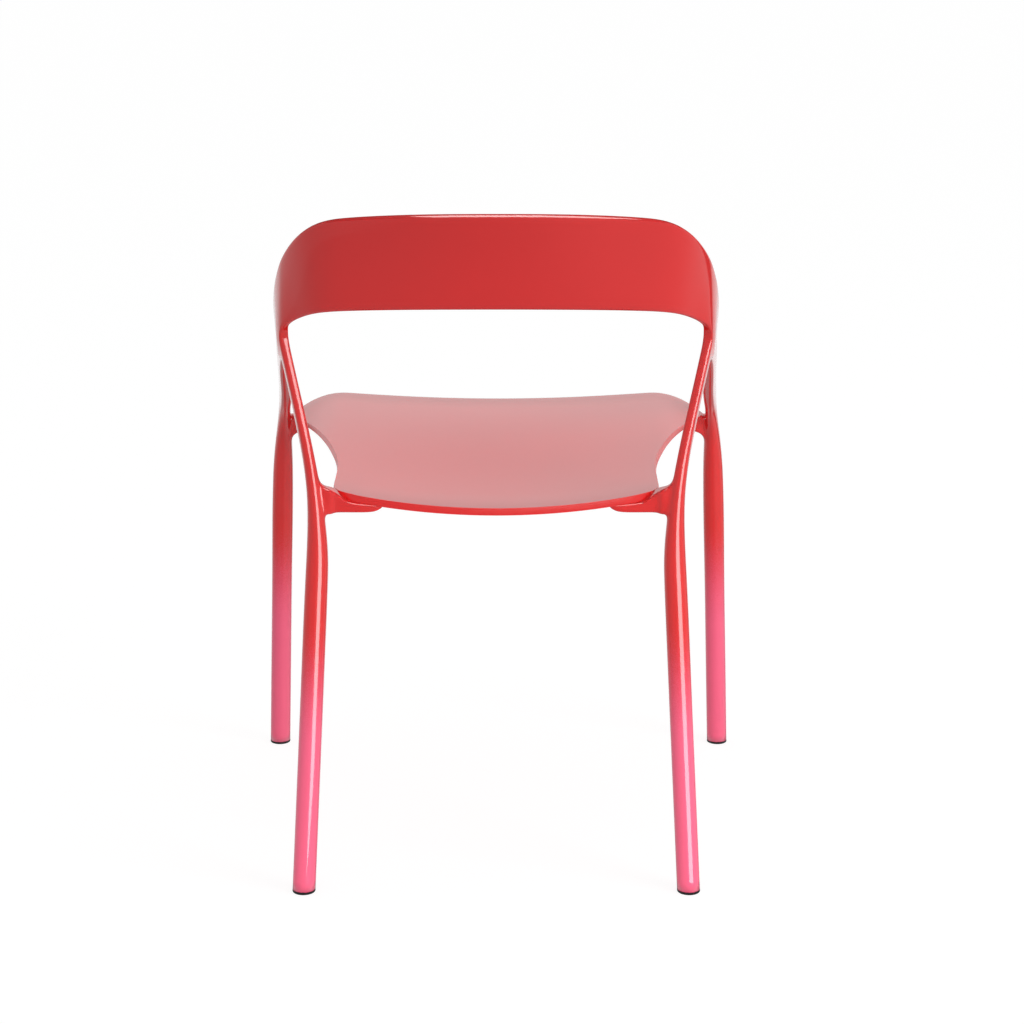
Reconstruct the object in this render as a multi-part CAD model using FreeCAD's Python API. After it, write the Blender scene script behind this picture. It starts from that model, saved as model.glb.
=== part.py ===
"""Guest chair: moulded, lacquered frame with a wrap-round back band, four legs and a thin saddle seat.

Millimetres, +Z up. The origin lies on the floor, midway between the four feet. The sitter faces -Y.
Left is the sitter's left, at +X; each right-hand piece is the mirror image of the left-hand one.
"""
import FreeCAD, Part
import math
import os

Vector = FreeCAD.Vector
ACROSS = Vector(1, 0, 0)
UP = Vector(0, 0, 1)

# Whole chair
BACK_HEIGHT = 736.8
SEAT_HEIGHT = 447.5
FRONT_FOOT_SPAN = 556.0
REAR_FOOT_SPAN = 418.0
FOOT_DEPTH = 470.0

# Legs: angles in degrees from the upright, seen from behind (splay) and from the side (rake)
LEG_DIAMETER = 25.0
LEG_WALL = 2.5
FRONT_SPLAY = 2.3
FRONT_RAKE = 4.4
REAR_SPLAY = 2.75
REAR_RAKE = 9.9
BORE_DROP = 150.0

# Knee of the front leg, below the seat's front, and the blade behind it
KNEE_DROP = 6.5
KNEE_REACH = 55.0
BLADE_THICKNESS = 13.8
BLADE_DEPTH = 28.0
BLADE_BOW = 1.6

# Bend of the rear leg at the seat and the branch above it
BEND_DROP = 32.5
BEND_REACH = 74.0
BRANCH_THICKNESS = 11.0
BRANCH_DEPTH = 21.0

# Back band and the corner yokes where the legs run into it
BAND_HEIGHT = 99.9
BAND_WIDTH = 474.0
BAND_THICKNESS = 8.0
BAND_LEAN = 16.5
BAND_OVERHANG = 1.5
YOKE_THICKNESS = 11.0
BLADE_JOINT_FORWARD = 166.5
BLADE_JOINT_DROP = 59.9
BLADE_JOINT_INSET = 2.5
BLADE_JOINT_DEPTH = 43.0
BRANCH_ROOT_FORWARD = 99.5
BRANCH_ROOT_DROP = 52.9
BRANCH_ROOT_INSET = 10.9
BRANCH_STUB = 26.0

# Seat shell
SEAT_THICKNESS = 8.0
SEAT_FRONT_OVERHANG = 8.0
SEAT_REAR_OVERHANG = 8.8
SEAT_DROP = 36.5
SEAT_DISH_FRONT = 7.0
SEAT_DISH_REAR = 17.0
SEAT_DISH_WIDTH = 350.0
SEAT_ROLL_WIDTH = 370.0
SEAT_ROLL = 0.0065
SEAT_FRONT_FALL = 3.0
SEAT_REAR_LIP = 2.5
FRONT_TAB_GAP = 14.0
REAR_TAB_GAP = 15.3
SEAT_WAIST_FLARE = 3.0
SEAT_EDGE_RADIUS = 0.32 * SEAT_THICKNESS

# Seat brackets: their roots lie below the seat's rim, and their ribs rise into the seat before they are cut
FRONT_BRACKET_DROP = 12.8
REAR_BRACKET_DROP = 12.2
RIB_RISE = 9.5
BRACKET_SQUARENESS = 3.0
PIN_DIAMETER = 6.0
PIN_LENGTH = 24.0
FRONT_PIN_SETBACK = 5.0
REAR_PIN_SETBACK = -2.0

# Seat screws and the threaded inserts in the seat
SCREW_DIAMETER = 5.0
SCREW_HEAD_DIAMETER = 9.5
SCREW_HEAD_HEIGHT = 2.6
SCREW_SOCKET = 3.0
FRONT_SCREW_REACH = 60.0
REAR_SCREW_REACHES = (34.0, 53.0)
HEAD_SINK = 3.4
INSERT_DIAMETER = 7.5
INSERT_RECESS = 0.9
INSERT_SKIN = 2.2

# Dowels between the legs and the band
DOWEL_DIAMETER = 6.0
DOWEL_LENGTH = 40.0
DOWEL_CHAMFER = 0.8

# Glides
GLIDE_HEIGHT = 3.2
GLIDE_STEM = 24.0
GLIDE_EDGE = 1.2

# Clearances
HOLE_CLEARANCE = 0.1
HOLE_END_GAP = 0.5
SCREW_CLEARANCE = 0.3

# Fineness of the lofted surfaces
SECTION_POINTS = 32
SURFACE_STEPS = 16
LOFT_DEGREE = 3
LEG_SECTION_SPACING = 36.0
BAND_SECTION_SPACING = 12.0
BRACKET_SECTION_SPACING = 6.0

LEG_RADIUS = LEG_DIAMETER / 2
BORE_DIAMETER = LEG_DIAMETER - 2 * LEG_WALL
FLOOR_OVERRUN = LEG_RADIUS
BACK_Y = FOOT_DEPTH / 2 + BAND_OVERHANG
BAND_BOTTOM = BACK_HEIGHT - BAND_HEIGHT
BAND_SIDE = BAND_WIDTH / 2


def mirrored(shape):
    return shape.mirror(Vector(0, 0, 0), ACROSS)


def leg_axis(foot_x, foot_y, splay, rake, height):
    """Point on the straight axis of a leg at a height above the floor."""
    inwards = -math.copysign(math.tan(math.radians(rake)), foot_y)
    return Vector(foot_x - height * math.tan(math.radians(splay)), foot_y + height * inwards, height)


def front_axis(height):
    return leg_axis(FRONT_FOOT_SPAN / 2, -FOOT_DEPTH / 2, FRONT_SPLAY, FRONT_RAKE, height)


def rear_axis(height):
    return leg_axis(REAR_FOOT_SPAN / 2, FOOT_DEPTH / 2, REAR_SPLAY, REAR_RAKE, height)


def bend(start, corner, end, share):
    """Point and direction on the curve that rounds a corner between two straight lines."""
    point = start * (1 - share) ** 2 + corner * (2 * share * (1 - share)) + end * share**2
    direction = (corner - start) * (1 - share) + (end - corner) * share
    return point, direction.normalize()


def station(centre, direction, depth, thickness, squareness):
    """One cross-section of a limb: its two edge points, its thickness and how square it is."""
    edgeways = ACROSS.cross(direction).normalize() * (depth / 2)
    return centre + edgeways, centre - edgeways, thickness, squareness


def between(start, end, share):
    return start + (end - start) * share


def rails(stations):
    """Smooth curves through the stations: the limb's two edges, and its thickness with its squareness."""
    lengths = [0.0]
    for before, after in zip(stations, stations[1:]):
        step = ((after[0] + after[1]) - (before[0] + before[1])).Length / 2
        lengths.append(lengths[-1] + step)
    curves = []
    for points in (
        [item[0] for item in stations],
        [item[1] for item in stations],
        [Vector(item[2], item[3], at) for item, at in zip(stations, lengths)],
    ):
        curve = Part.BSplineCurve()
        curve.interpolate(Points=points, Parameters=lengths)
        curves.append(curve)
    return curves, lengths


def middle(curves, at):
    """Centre point and direction of a limb at a length along its rails."""
    front, rear, girth = curves
    direction = front.tangent(at)[0] + rear.tangent(at)[0]
    return (front.value(at) + rear.value(at)) * 0.5, direction.normalize()


def section(curves, at):
    """Closed rounded cross-section of a limb, at a length along its rails."""
    front, rear, girth = curves
    centre, direction = middle(curves, at)
    wide = front.value(at) - centre
    thin = direction.cross(wide).normalize() * (girth.value(at).x / 2)
    power = 2 / girth.value(at).y
    points = []
    for number in range(SECTION_POINTS):
        angle = 2 * math.pi * number / SECTION_POINTS
        cosine = math.cos(angle)
        sine = math.sin(angle)
        points.append(
            centre
            + wide * math.copysign(abs(cosine) ** power, cosine)
            + thin * math.copysign(abs(sine) ** power, sine)
        )
    outline = Part.BSplineCurve()
    outline.interpolate(Points=points, PeriodicFlag=True, Parameters=list(range(SECTION_POINTS + 1)))
    return Part.Wire(outline.toShape())


def limb(curves, start, end, spacing):
    """Solid limb, lofted along its rails between two lengths."""
    count = max(3, round((end - start) / spacing))
    places = [between(start, end, step / count) for step in range(count + 1)]
    return Part.makeLoft([section(curves, at) for at in places], True, False, False, LOFT_DEGREE)


def rod(centre, direction, diameter, length):
    """Plain cylinder about a centre point."""
    return Part.makeCylinder(diameter / 2, length, centre - direction * (length / 2), direction)


def dowel(centre, direction, diameter, length):
    """Cylinder with chamfered ends, about a centre point."""
    plain = rod(centre, direction, diameter, length)
    ends = [edge for edge in plain.Edges if len(edge.Vertexes) == 1]
    return plain.makeChamfer(DOWEL_CHAMFER, ends)


def hole(centre, direction, diameter, length):
    """Room for a dowel, a little wider and longer than it."""
    return rod(centre, direction, diameter + 2 * HOLE_CLEARANCE, length + 2 * HOLE_END_GAP)


# Front leg: round tube, knee at the seat, then the blade that runs back to the band
knee = front_axis(SEAT_HEIGHT - KNEE_DROP)
knee_start = front_axis(knee.z - KNEE_REACH)
front_direction = (knee - knee_start).normalize()
blade_end = Vector(
    BAND_SIDE - BLADE_JOINT_INSET,
    BACK_Y - BLADE_JOINT_FORWARD,
    BAND_BOTTOM - BLADE_JOINT_DROP,
)
blade_direction = (blade_end - knee).normalize()


def blade_point(share):
    return between(knee, blade_end, share) - ACROSS * (4 * BLADE_BOW * share * (1 - share))


knee_end = blade_point(KNEE_REACH / (blade_end - knee).Length)
hoop_stations = []
for share in (0.0, 0.33, 0.66, 0.9):
    centre = front_axis(between(-FLOOR_OVERRUN, knee_start.z, share))
    hoop_stations.append(station(centre, front_direction, LEG_DIAMETER, LEG_DIAMETER, 2.0))
for share, roundness, squareness in (
    (0.05, 0.68, 2.0),
    (0.35, 0.28, 2.2),
    (0.62, 0.06, 2.4),
    (1.0, 0.0, 2.8),
):
    centre, direction = bend(knee_start, knee, knee_end, share)
    depth = between(BLADE_DEPTH, LEG_DIAMETER, roundness)
    thickness = between(BLADE_THICKNESS, LEG_DIAMETER, roundness)
    hoop_stations.append(station(centre, direction, depth, thickness, squareness))
for share, growth in ((0.45, 0.03), (0.74, 0.3), (1.0, 1.0)):
    depth = between(BLADE_DEPTH, BLADE_JOINT_DEPTH, growth)
    thickness = between(BLADE_THICKNESS, YOKE_THICKNESS, growth / 2)
    hoop_stations.append(station(blade_point(share), blade_direction, depth, thickness, 3.0))
blade_joint_number = len(hoop_stations) - 1

# Back band: from the yoke round the corner to the middle. Each row gives the upper edge and then the
# lower edge of a section, as inset from the band's side, distance forward of its middle and drop
for top_inset, top_forward, top_drop, low_inset, low_forward, low_drop, thickness, squareness in (
    (5.5, 124.5, 98.8, 7.5, 110.5, 63.9, YOKE_THICKNESS, 3.2),
    (13.0, 93.5, 65.8, 15.5, 88.5, 32.9, between(YOKE_THICKNESS, BAND_THICKNESS, 0.3), 3.6),
    (27.0, 65.5, 39.2, 30.0, 68.5, 17.1, between(YOKE_THICKNESS, BAND_THICKNESS, 0.7), 4.2),
    (50.0, 38.5, 16.8, 53.0, 46.5, 8.1, BAND_THICKNESS, 4.5),
    (97.0, 19.5, 5.6, 99.0, 30.5, 3.4, BAND_THICKNESS, 4.5),
    (166.0, 4.5, 1.1, 166.0, BAND_LEAN + 3.5, 0.8, BAND_THICKNESS, 4.5),
):
    hoop_stations.append((
        Vector(BAND_SIDE - top_inset, BACK_Y - top_forward, BACK_HEIGHT - top_drop),
        Vector(BAND_SIDE - low_inset, BACK_Y - low_forward, BAND_BOTTOM - low_drop),
        thickness, squareness,
    ))
far_stations = []
for top, low, thickness, squareness in reversed(hoop_stations):
    far_top = Vector(-top.x, top.y, top.z)
    far_low = Vector(-low.x, low.y, low.z)
    far_stations.append((far_top, far_low, thickness, squareness))
middle_top = Vector(0, BACK_Y, BACK_HEIGHT)
middle_low = Vector(0, BACK_Y - BAND_LEAN, BAND_BOTTOM)
band_middle = (middle_top, middle_low, BAND_THICKNESS, 4.5)
hoop, hoop_lengths = rails(hoop_stations + [band_middle] + far_stations)
blade_joint_at = hoop_lengths[blade_joint_number]
band_middle_at = hoop_lengths[len(hoop_stations)]

# Rear leg: round tube, gentle bend at the seat, then the branch up to its root under the band
bend_corner = rear_axis(SEAT_HEIGHT - BEND_DROP)
bend_start = rear_axis(bend_corner.z - BEND_REACH)
rear_direction = (bend_corner - bend_start).normalize()
branch_root = Vector(
    BAND_SIDE - BRANCH_ROOT_INSET,
    BACK_Y - BRANCH_ROOT_FORWARD,
    BAND_BOTTOM - BRANCH_ROOT_DROP,
)
branch_direction = (branch_root - bend_corner).normalize()
bend_end = bend_corner + branch_direction * BEND_REACH
rear_stations = []
for share in (0.0, 0.35, 0.7, 0.92):
    centre = rear_axis(between(-FLOOR_OVERRUN, bend_start.z, share))
    rear_stations.append(station(centre, rear_direction, LEG_DIAMETER, LEG_DIAMETER, 2.0))
for share, roundness, squareness in (
    (0.12, 0.9, 2.0),
    (0.35, 0.62, 2.1),
    (0.6, 0.3, 2.3),
    (1.0, 0.04, 2.6),
):
    centre, direction = bend(bend_start, bend_corner, bend_end, share)
    depth = between(BRANCH_DEPTH, LEG_DIAMETER, roundness)
    thickness = between(BRANCH_THICKNESS, LEG_DIAMETER, roundness)
    rear_stations.append(station(centre, direction, depth, thickness, squareness))
branch_joint_number = len(rear_stations)
for rise, growth, flare in ((-BRANCH_STUB, 0.0, 1.0), (0.0, 2.0, -0.5), (14.0, 2.0, -4.0)):
    centre = branch_root + branch_direction * rise
    rear_stations.append(
        station(centre, branch_direction, BRANCH_DEPTH + growth, BRANCH_THICKNESS + flare, 2.8)
    )
rear_limb, rear_lengths = rails(rear_stations)
branch_joint_at = rear_lengths[branch_joint_number]

# Seat shell: saddle surface, trimmed to the waisted outline, with rounded edges
front_tab = front_axis(SEAT_HEIGHT) - ACROSS * FRONT_TAB_GAP
rear_tab = rear_axis(SEAT_HEIGHT - SEAT_DROP) - ACROSS * REAR_TAB_GAP
SEAT_FRONT = -FOOT_DEPTH / 2 - SEAT_FRONT_OVERHANG
SEAT_REAR = rear_tab.y + SEAT_REAR_OVERHANG
SEAT_LENGTH = SEAT_REAR - SEAT_FRONT


def ease(share):
    share = min(1.0, max(0.0, share))
    return share * share * (3 - 2 * share)


def seat_top(x, y):
    """Height of the seat's upper surface."""
    run = (y - SEAT_FRONT) / SEAT_LENGTH
    dish = between(SEAT_DISH_FRONT, SEAT_DISH_REAR, ease(run))
    height = SEAT_HEIGHT - SEAT_DROP * ease(run)
    height -= SEAT_FRONT_FALL * max(0.0, 1 - run / 0.15) ** 2
    height += SEAT_REAR_LIP * max(0.0, (run - 0.85) / 0.15) ** 2
    height += dish * (2 * x / SEAT_DISH_WIDTH) ** 2
    return height - SEAT_ROLL * max(0.0, abs(x) - SEAT_ROLL_WIDTH / 2) ** 2


def seat_underside(x, y):
    return seat_top(x, y) - SEAT_THICKNESS


seat_waist = rear_tab.x + SEAT_WAIST_FLARE
side_run = rear_tab.y - front_tab.y
half_outline = (
    (0.0, SEAT_FRONT),
    (front_tab.x * 0.32, SEAT_FRONT + 0.3),
    (front_tab.x * 0.62, SEAT_FRONT + 1.6),
    (front_tab.x - 54, SEAT_FRONT + 5),
    (front_tab.x - 23, SEAT_FRONT + 17),
    (front_tab.x - 5, front_tab.y - 9),
    (front_tab.x, front_tab.y + 8),
    (front_tab.x - 5, front_tab.y + 38),
    (between(seat_waist, front_tab.x, 0.62), front_tab.y + 0.284 * side_run),
    (between(seat_waist, front_tab.x, 0.29), front_tab.y + 0.465 * side_run),
    (between(seat_waist, front_tab.x, 0.04), front_tab.y + 0.65 * side_run),
    (seat_waist - 1, rear_tab.y - 53),
    (rear_tab.x, rear_tab.y - 23),
    (rear_tab.x - 9, rear_tab.y - 6),
    (rear_tab.x - 34, rear_tab.y - 2),
    (rear_tab.x * 0.46, SEAT_REAR - 3),
    (0.0, SEAT_REAR),
)
outline_points = [Vector(x, y, 0) for x, y in half_outline]
outline_points += [Vector(-x, y, 0) for x, y in reversed(half_outline[1:-1])]
seat_outline = Part.BSplineCurve()
seat_outline.interpolate(Points=outline_points, PeriodicFlag=True)
outline_start = seat_outline.FirstParameter
outline_end = seat_outline.LastParameter
quarters = [between(outline_start, outline_end, number / 4) for number in range(5)]
outline_edges = [seat_outline.toShape(start, end) for start, end in zip(quarters, quarters[1:])]
outline_prism = Part.Face(Part.Wire(outline_edges)).extrude(UP * (2 * SEAT_HEIGHT))
surface_margin = 3 * SEAT_THICKNESS
surface_points = []
for column in range(SURFACE_STEPS + 1):
    x = (front_tab.x + surface_margin) * (2 * column / SURFACE_STEPS - 1)
    rows = [
        between(SEAT_FRONT - surface_margin, SEAT_REAR + surface_margin, step / SURFACE_STEPS)
        for step in range(SURFACE_STEPS + 1)
    ]
    surface_points.append([Vector(x, y, seat_top(x, y)) for y in rows])
saddle = Part.BSplineSurface()
saddle.interpolate(surface_points)
upper_face = saddle.toShape()
plain_seat = upper_face.extrude(UP * -SEAT_THICKNESS).common(outline_prism).Solids[0]
rim = []
for face in plain_seat.Faces:
    low_u, high_u, low_v, high_v = face.ParameterRange
    if abs(face.normalAt(between(low_u, high_u, 0.5), between(low_v, high_v, 0.5)).z) > 0.5:
        rim += face.OuterWire.Edges
seat_shell = plain_seat.makeFillet(SEAT_EDGE_RADIUS, rim)
lower_face = upper_face.translated(UP * -SEAT_THICKNESS)
seat_room = lower_face.extrude(UP * SEAT_HEIGHT / 2).common(outline_prism)

# Seat brackets: filleted arms from the legs, running on under the seat as tapered ribs. A root row gives
# the reach inwards from the leg's axis, top, bottom, depth and setback of a section beside the leg. A rib
# row gives the reach, drop below the seat's underside, depth and setback of a section under the seat
front_root_rows = (
    (1.0, 10.0, -14.0, 15.0, 6.0),
    (7.0, 12.5, -15.0, 19.0, 5.0),
    (11.0, 15.0, -13.5, 22.0, 4.0),
)
front_rib_rows = (
    (18.0, 17.8, 24.0, 3.0),
    (36.0, 19.3, 25.0, 3.0),
    (60.0, 14.6, 23.0, 3.0),
    (72.0, 8.0, 18.0, 3.0),
)
rear_root_rows = (
    (-3.0, 15.0, -14.0, 16.0, -1.0),
    (4.0, 16.0, -16.0, 19.0, -2.0),
    (10.0, 15.0, -13.5, 23.0, -5.0),
)
rear_rib_rows = (
    (18.0, 14.6, 25.0, -9.0),
    (38.0, 10.4, 27.0, -14.0),
    (56.0, 7.5, 26.0, -17.0),
    (66.0, 3.1, 21.0, -18.0),
)


def under_seat(root, reach, setback):
    """Point on the seat's underside, at a reach and a setback from a bracket's root."""
    x = root.x - reach
    y = root.y + setback
    return Vector(x, y, seat_underside(x, y))


def bracket_arm(root, root_rows, rib_rows):
    """Arm of a bracket with its top shaped to the seat."""
    stations = []
    for reach, top, bottom, depth, setback in root_rows:
        centre = root + Vector(-reach, setback, 0)
        stations.append((centre + UP * top, centre + UP * bottom, depth, BRACKET_SQUARENESS))
    for reach, drop, depth, setback in rib_rows:
        rest = under_seat(root, reach, setback)
        stations.append((rest + UP * RIB_RISE, rest - UP * drop, depth, BRACKET_SQUARENESS))
    curves, lengths = rails(stations)
    return limb(curves, 0, lengths[-1], BRACKET_SECTION_SPACING).cut(seat_room)


def rib_bottom(root, rib_rows, reach):
    """Lowest point of a rib at a reach from the leg's axis."""
    near, far = next((near, far) for near, far in zip(rib_rows, rib_rows[1:]) if near[0] <= reach <= far[0])
    share = (reach - near[0]) / (far[0] - near[0])
    return under_seat(root, reach, between(near[3], far[3], share)) - UP * between(near[1], far[1], share)


front_bracket_root = front_axis(seat_top(front_tab.x, front_tab.y) - FRONT_BRACKET_DROP)
rear_bracket_root = rear_axis(seat_top(rear_tab.x, rear_tab.y) - REAR_BRACKET_DROP)
left_front_bracket = bracket_arm(front_bracket_root, front_root_rows, front_rib_rows)
left_rear_bracket = bracket_arm(rear_bracket_root, rear_root_rows, rear_rib_rows)

# Legs and band as plain solids, parted at the two yoke joints of each side
floor_cut = Part.makeBox(2 * FRONT_FOOT_SPAN, 2 * FOOT_DEPTH, BACK_HEIGHT)
floor_cut.translate(Vector(-FRONT_FOOT_SPAN, -FOOT_DEPTH, GLIDE_HEIGHT - BACK_HEIGHT))
left_front_leg = limb(hoop, 0, blade_joint_at, LEG_SECTION_SPACING).cut(floor_cut)
left_rear_leg = limb(rear_limb, 0, branch_joint_at, LEG_SECTION_SPACING).cut(floor_cut)
branch_stub = limb(rear_limb, branch_joint_at, rear_lengths[-1], BAND_SECTION_SPACING)
half_band = limb(hoop, blade_joint_at, band_middle_at, BAND_SECTION_SPACING).fuse(branch_stub)
left_front_bracket = left_front_bracket.cut(left_front_leg)
left_rear_bracket = left_rear_bracket.cut(left_rear_leg)

# Dowels between the legs and the band
left_front_dowel = dowel(*middle(hoop, blade_joint_at), DOWEL_DIAMETER, DOWEL_LENGTH)
left_rear_dowel = dowel(*middle(rear_limb, branch_joint_at), DOWEL_DIAMETER, DOWEL_LENGTH)
front_dowel_hole = hole(*middle(hoop, blade_joint_at), DOWEL_DIAMETER, DOWEL_LENGTH)
rear_dowel_hole = hole(*middle(rear_limb, branch_joint_at), DOWEL_DIAMETER, DOWEL_LENGTH)
half_band = half_band.cut(front_dowel_hole).cut(rear_dowel_hole)
backrest_band = half_band.fuse(mirrored(half_band))

# Pins between the brackets and the legs
front_pin_middle = front_bracket_root + Vector(-PIN_LENGTH / 2, FRONT_PIN_SETBACK, 0)
rear_pin_middle = rear_bracket_root + Vector((REAR_TAB_GAP - PIN_LENGTH) / 2, REAR_PIN_SETBACK, 0)
left_front_pin = dowel(front_pin_middle, ACROSS, PIN_DIAMETER, PIN_LENGTH)
left_rear_pin = dowel(rear_pin_middle, ACROSS, PIN_DIAMETER, PIN_LENGTH)
front_pin_hole = hole(front_pin_middle, ACROSS, PIN_DIAMETER, PIN_LENGTH)
rear_pin_hole = hole(rear_pin_middle, ACROSS, PIN_DIAMETER, PIN_LENGTH)
left_front_bracket = left_front_bracket.cut(front_pin_hole)
left_rear_bracket = left_rear_bracket.cut(rear_pin_hole)


def leg_bore(axis, direction):
    """Room inside the round part of a leg, with a domed end."""
    start = axis(-FLOOR_OVERRUN)
    end = axis(SEAT_HEIGHT - BORE_DROP)
    tube = Part.makeCylinder(BORE_DIAMETER / 2, (end - start).Length, start, direction)
    return tube.fuse(Part.makeSphere(BORE_DIAMETER / 2, end))


left_front_leg = left_front_leg.cut(leg_bore(front_axis, front_direction))
left_front_leg = left_front_leg.cut(front_dowel_hole).cut(front_pin_hole)
left_rear_leg = left_rear_leg.cut(leg_bore(rear_axis, rear_direction))
left_rear_leg = left_rear_leg.cut(rear_dowel_hole).cut(rear_pin_hole)


# Glides: a pad as wide as the leg, level with the floor, and a stem that fits the bore
def glide(axis, direction):
    below = axis(-FLOOR_OVERRUN)
    slice_corner = Vector(below.x - LEG_DIAMETER, below.y - LEG_DIAMETER, 0)
    pad_slice = Part.makeBox(2 * LEG_DIAMETER, 2 * LEG_DIAMETER, GLIDE_HEIGHT, slice_corner)
    pad = Part.makeCylinder(LEG_RADIUS, 2 * LEG_DIAMETER, below, direction).common(pad_slice)
    foot_edge = [edge for edge in pad.Edges if edge.BoundBox.ZMax < GLIDE_HEIGHT / 2]
    pad = pad.makeFillet(GLIDE_EDGE, foot_edge)
    stem_radius = BORE_DIAMETER / 2 - HOLE_CLEARANCE
    stem = Part.makeCylinder(stem_radius, FLOOR_OVERRUN + GLIDE_STEM, below, direction)
    tip = max(stem.Edges, key=lambda edge: edge.BoundBox.ZMax)
    return pad.fuse(stem.makeChamfer(2 * GLIDE_EDGE, [tip]).cut(floor_cut))


left_front_glide = glide(front_axis, front_direction)
left_rear_glide = glide(rear_axis, rear_direction)


# Seat screws from below through the brackets, into threaded inserts in the seat
def seat_screw(place):
    """Domed screw with its head sunk in the bracket."""
    head_top = place + UP * HEAD_SINK
    head_base = head_top - UP * SCREW_HEAD_HEIGHT
    tip = seat_top(place.x, place.y) - INSERT_SKIN - INSERT_RECESS
    shank = Part.makeCylinder(SCREW_DIAMETER / 2, tip - head_top.z, head_top)
    dome_radius = (SCREW_HEAD_DIAMETER**2 / 4 + SCREW_HEAD_HEIGHT**2) / (2 * SCREW_HEAD_HEIGHT)
    dome = Part.makeSphere(dome_radius, head_base + UP * dome_radius)
    head = dome.common(Part.makeCylinder(SCREW_HEAD_DIAMETER, SCREW_HEAD_HEIGHT, head_base))
    corners = []
    for number in range(7):
        angle = math.radians(60 * number)
        reach = SCREW_SOCKET / math.sqrt(3)
        corners.append(head_base + Vector(reach * math.cos(angle), reach * math.sin(angle), 0))
    socket = Part.Face(Part.makePolygon(corners)).extrude(UP * SCREW_HEAD_HEIGHT * 0.6)
    return head.fuse(shank).cut(socket).removeSplitter()


def screw_room(place):
    """Sunk hole for a screw in a bracket."""
    through = Part.makeCylinder(SCREW_DIAMETER / 2 + SCREW_CLEARANCE, SEAT_HEIGHT / 4, place)
    sink_radius = SCREW_HEAD_DIAMETER / 2 + SCREW_CLEARANCE
    sink = Part.makeCylinder(sink_radius, 3 * HEAD_SINK, place - UP * (2 * HEAD_SINK))
    return through.fuse(sink)


def insert_base(place):
    return Vector(place.x, place.y, seat_underside(place.x, place.y) + INSERT_RECESS)


def seat_insert(place):
    """Threaded sleeve for a screw."""
    length = SEAT_THICKNESS - INSERT_RECESS - INSERT_SKIN - HOLE_END_GAP
    sleeve = Part.makeCylinder(INSERT_DIAMETER / 2, length, insert_base(place))
    thread_radius = SCREW_DIAMETER / 2 + HOLE_CLEARANCE / 2
    return sleeve.cut(Part.makeCylinder(thread_radius, length, insert_base(place)))


def insert_room(place):
    """Blind hole for an insert, open below."""
    depth = SEAT_THICKNESS - INSERT_SKIN + SEAT_THICKNESS / 2
    base = Vector(place.x, place.y, seat_underside(place.x, place.y) - SEAT_THICKNESS / 2)
    return Part.makeCylinder(INSERT_DIAMETER / 2 + HOLE_CLEARANCE / 2, depth, base)


screw_places = [rib_bottom(front_bracket_root, front_rib_rows, FRONT_SCREW_REACH)]
for reach in REAR_SCREW_REACHES:
    screw_places.append(rib_bottom(rear_bracket_root, rear_rib_rows, reach))
for place in screw_places:
    left_front_bracket = left_front_bracket.cut(screw_room(place))
    left_rear_bracket = left_rear_bracket.cut(screw_room(place))
left_screws = Part.makeCompound([seat_screw(place) for place in screw_places])
left_inserts = Part.makeCompound([seat_insert(place) for place in screw_places])
left_rooms = Part.makeCompound([insert_room(place) for place in screw_places])
seat_shell = seat_shell.cut(left_rooms).cut(mirrored(left_rooms))

# The finished pieces
os.makedirs("parts", exist_ok=True)
backrest_band.exportStep("parts/backrest_band.step")
seat_shell.exportStep("parts/seat_shell.step")
for name, shape in (("seat_screws", left_screws), ("seat_inserts", left_inserts)):
    Part.makeCompound(shape.Solids + mirrored(shape).Solids).exportStep(f"parts/{name}.step")
for name, shape in (
    ("front_leg", left_front_leg),
    ("rear_leg", left_rear_leg),
    ("front_bracket", left_front_bracket),
    ("rear_bracket", left_rear_bracket),
    ("front_glide", left_front_glide),
    ("rear_glide", left_rear_glide),
    ("front_dowel", left_front_dowel),
    ("rear_dowel", left_rear_dowel),
    ("front_bracket_pin", left_front_pin),
    ("rear_bracket_pin", left_rear_pin),
):
    shape.exportStep(f"parts/left_{name}.step")
    mirrored(shape).exportStep(f"parts/right_{name}.step")
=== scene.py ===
"""Guest chair, dressed for its picture: a lacquered moulded frame, a thin saddle seat and black glides.

Metres, +Z up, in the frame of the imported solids. The sitter faces -Y, and the sitter's left is at +X.
"""

import bmesh
import bpy
import math
import numpy as np
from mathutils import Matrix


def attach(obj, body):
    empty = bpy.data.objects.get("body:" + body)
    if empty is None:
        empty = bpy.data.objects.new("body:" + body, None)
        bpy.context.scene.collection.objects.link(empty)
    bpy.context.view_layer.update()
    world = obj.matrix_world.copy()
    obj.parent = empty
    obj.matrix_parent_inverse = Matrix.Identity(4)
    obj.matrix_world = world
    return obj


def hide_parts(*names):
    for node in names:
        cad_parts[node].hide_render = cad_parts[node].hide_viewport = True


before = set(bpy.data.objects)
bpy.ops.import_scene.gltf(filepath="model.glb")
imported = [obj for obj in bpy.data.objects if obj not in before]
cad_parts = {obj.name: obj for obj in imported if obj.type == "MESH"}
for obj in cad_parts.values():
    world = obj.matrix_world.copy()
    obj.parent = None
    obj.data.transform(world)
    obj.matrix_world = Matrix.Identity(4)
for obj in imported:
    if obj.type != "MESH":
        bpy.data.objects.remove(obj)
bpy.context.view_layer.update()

# Moulded frame: back band, blades, branches, legs and seat arms are one seamless skin of fibre composite,
# pressed in a closed mould and lacquered. Each limb is drawn by sections: two edges, a thickness, the length
# of the rounded edge, flatness from 0 for a tube to 1 for a ribbon, and how far the edge rolls to the front.
BACK_TOP = 0.7365
BAND_BOTTOM = 0.6357
BAND_BACK = 0.2365
BAND_SIDE = 0.237
BAND_LEAN = 0.0165
BAND_THICKNESS = 0.008
EDGE_ROLL = 0.7
YOKE_THICKNESS = 0.011
LEG_DIAMETER = 0.025
GLIDE_HEIGHT = 0.0032
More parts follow.
